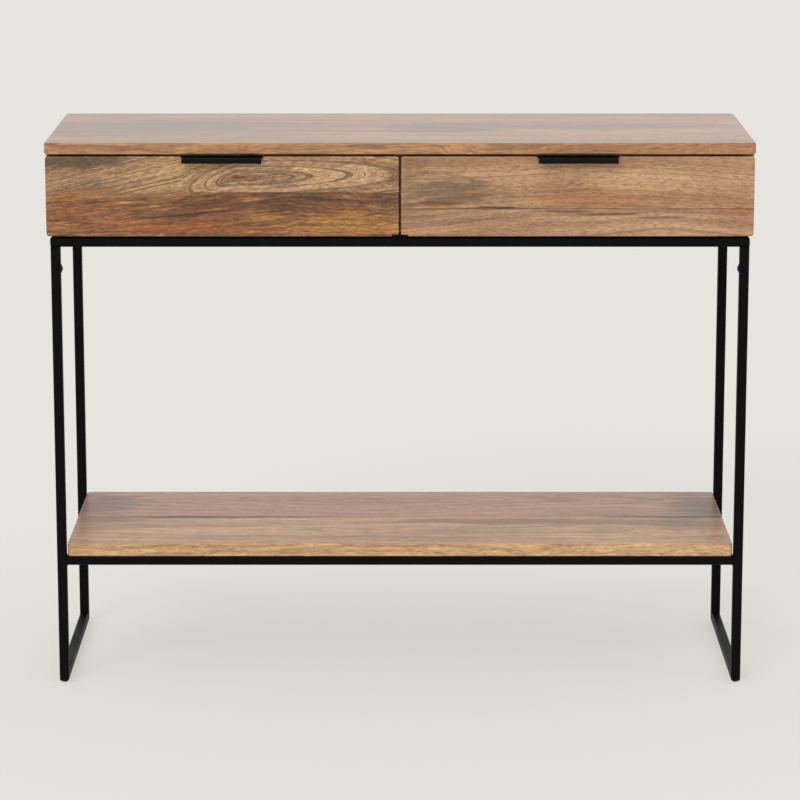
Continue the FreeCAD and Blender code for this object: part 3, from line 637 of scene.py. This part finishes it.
# the studio: a pale floor that glows a little, a white room round it and soft light from the left
stageLook = {
    "halfSide": 60.0,                                       # m of floor each way, out of sight
    "floor": "#8d8b88", "glow": 0.635, "glowColour": "#e6e5e1",
    "room": "#f4f3f1", "zenith": 1.0, "horizon": 1.3,       # brightness overhead and low down
    "rise": (0.12, 0.40),                                   # where low down ends and overhead begins
    "backdrop": "#e6e5e0",
    "sun": 1.0, "sunAngle": 25.0, "sunWay": (0.38, 0.80, -0.62),
}


def makeFloor(look):
    side = look["halfSide"]
    mesh = bpy.data.meshes.new("floor")
    mesh.from_pydata([(-side, -side, 0.0), (side, -side, 0.0), (side, side, 0.0), (-side, side, 0.0)], [],
                     [(0, 1, 2, 3)])
    floor = bpy.data.objects.new("floor", mesh)
    bpy.context.scene.collection.objects.link(floor)
    material, tree = newMaterial("paper floor")
    place = addNode(tree, "TexCoord", out="Object")
    tone = addNode(tree, "TexNoise", {"Vector": place, "Scale": 2.0, "Detail": 2.0})
    pale = linear(look["floor"])
    greyer = tuple(c * 0.995 for c in pale[:3]) + (1.0,)
    colour = addNode(tree, "Mix", {0: tone, 6: greyer, 7: pale}, out=2, data_type="RGBA")
    shader = addNode(tree, "BsdfPrincipled", {"Base Color": colour, "Roughness": 0.9,
                                              "Specular IOR Level": 0.0,
                                              "Emission Color": linear(look["glowColour"]),
                                              "Emission Strength": look["glow"]})
    addNode(tree, "OutputMaterial", {"Surface": shader})
    mesh.materials.append(material)


def makeRoom(look):
    world = bpy.data.worlds.new("studio")
    bpy.context.scene.world = world
    world.use_nodes = True
    tree = world.node_tree
    tree.nodes.clear()
    # a white room, a little brighter low down than overhead
    way = addNode(tree, "TexCoord", out="Generated")
    rise = addNode(tree, "SeparateXYZ", {0: way}, out=2)
    strength = addNode(tree, "MapRange", {0: rise, 1: look["rise"][0], 2: look["rise"][1],
                                          3: look["horizon"], 4: look["zenith"]})
    room = addNode(tree, "Background", {"Color": linear(look["room"]), "Strength": strength})
    # past the floor's edge the backdrop is the floor's own colour, so low views have no horizon
    backdrop = addNode(tree, "Background", {"Color": linear(look["backdrop"]), "Strength": 1.0})
    seen = addNode(tree, "LightPath", out="Is Camera Ray")
    both = addNode(tree, "MixShader", {0: seen, 1: room, 2: backdrop})
    addNode(tree, "OutputWorld", {"Surface": both})


def makeWindow(look):
    sun = bpy.data.lights.new("window", "SUN")
    sun.energy = look["sun"]
    sun.angle = math.radians(look["sunAngle"])
    holder = bpy.data.objects.new("window", sun)
    bpy.context.scene.collection.objects.link(holder)
    holder.rotation_euler = Vector(look["sunWay"]).to_track_quat("-Z", "Y").to_euler()


makeFloor(stageLook)
makeRoom(stageLook)
makeWindow(stageLook)
view = bpy.context.scene.view_settings
view.view_transform = "Standard"
view.look = "None"
print("stage set")
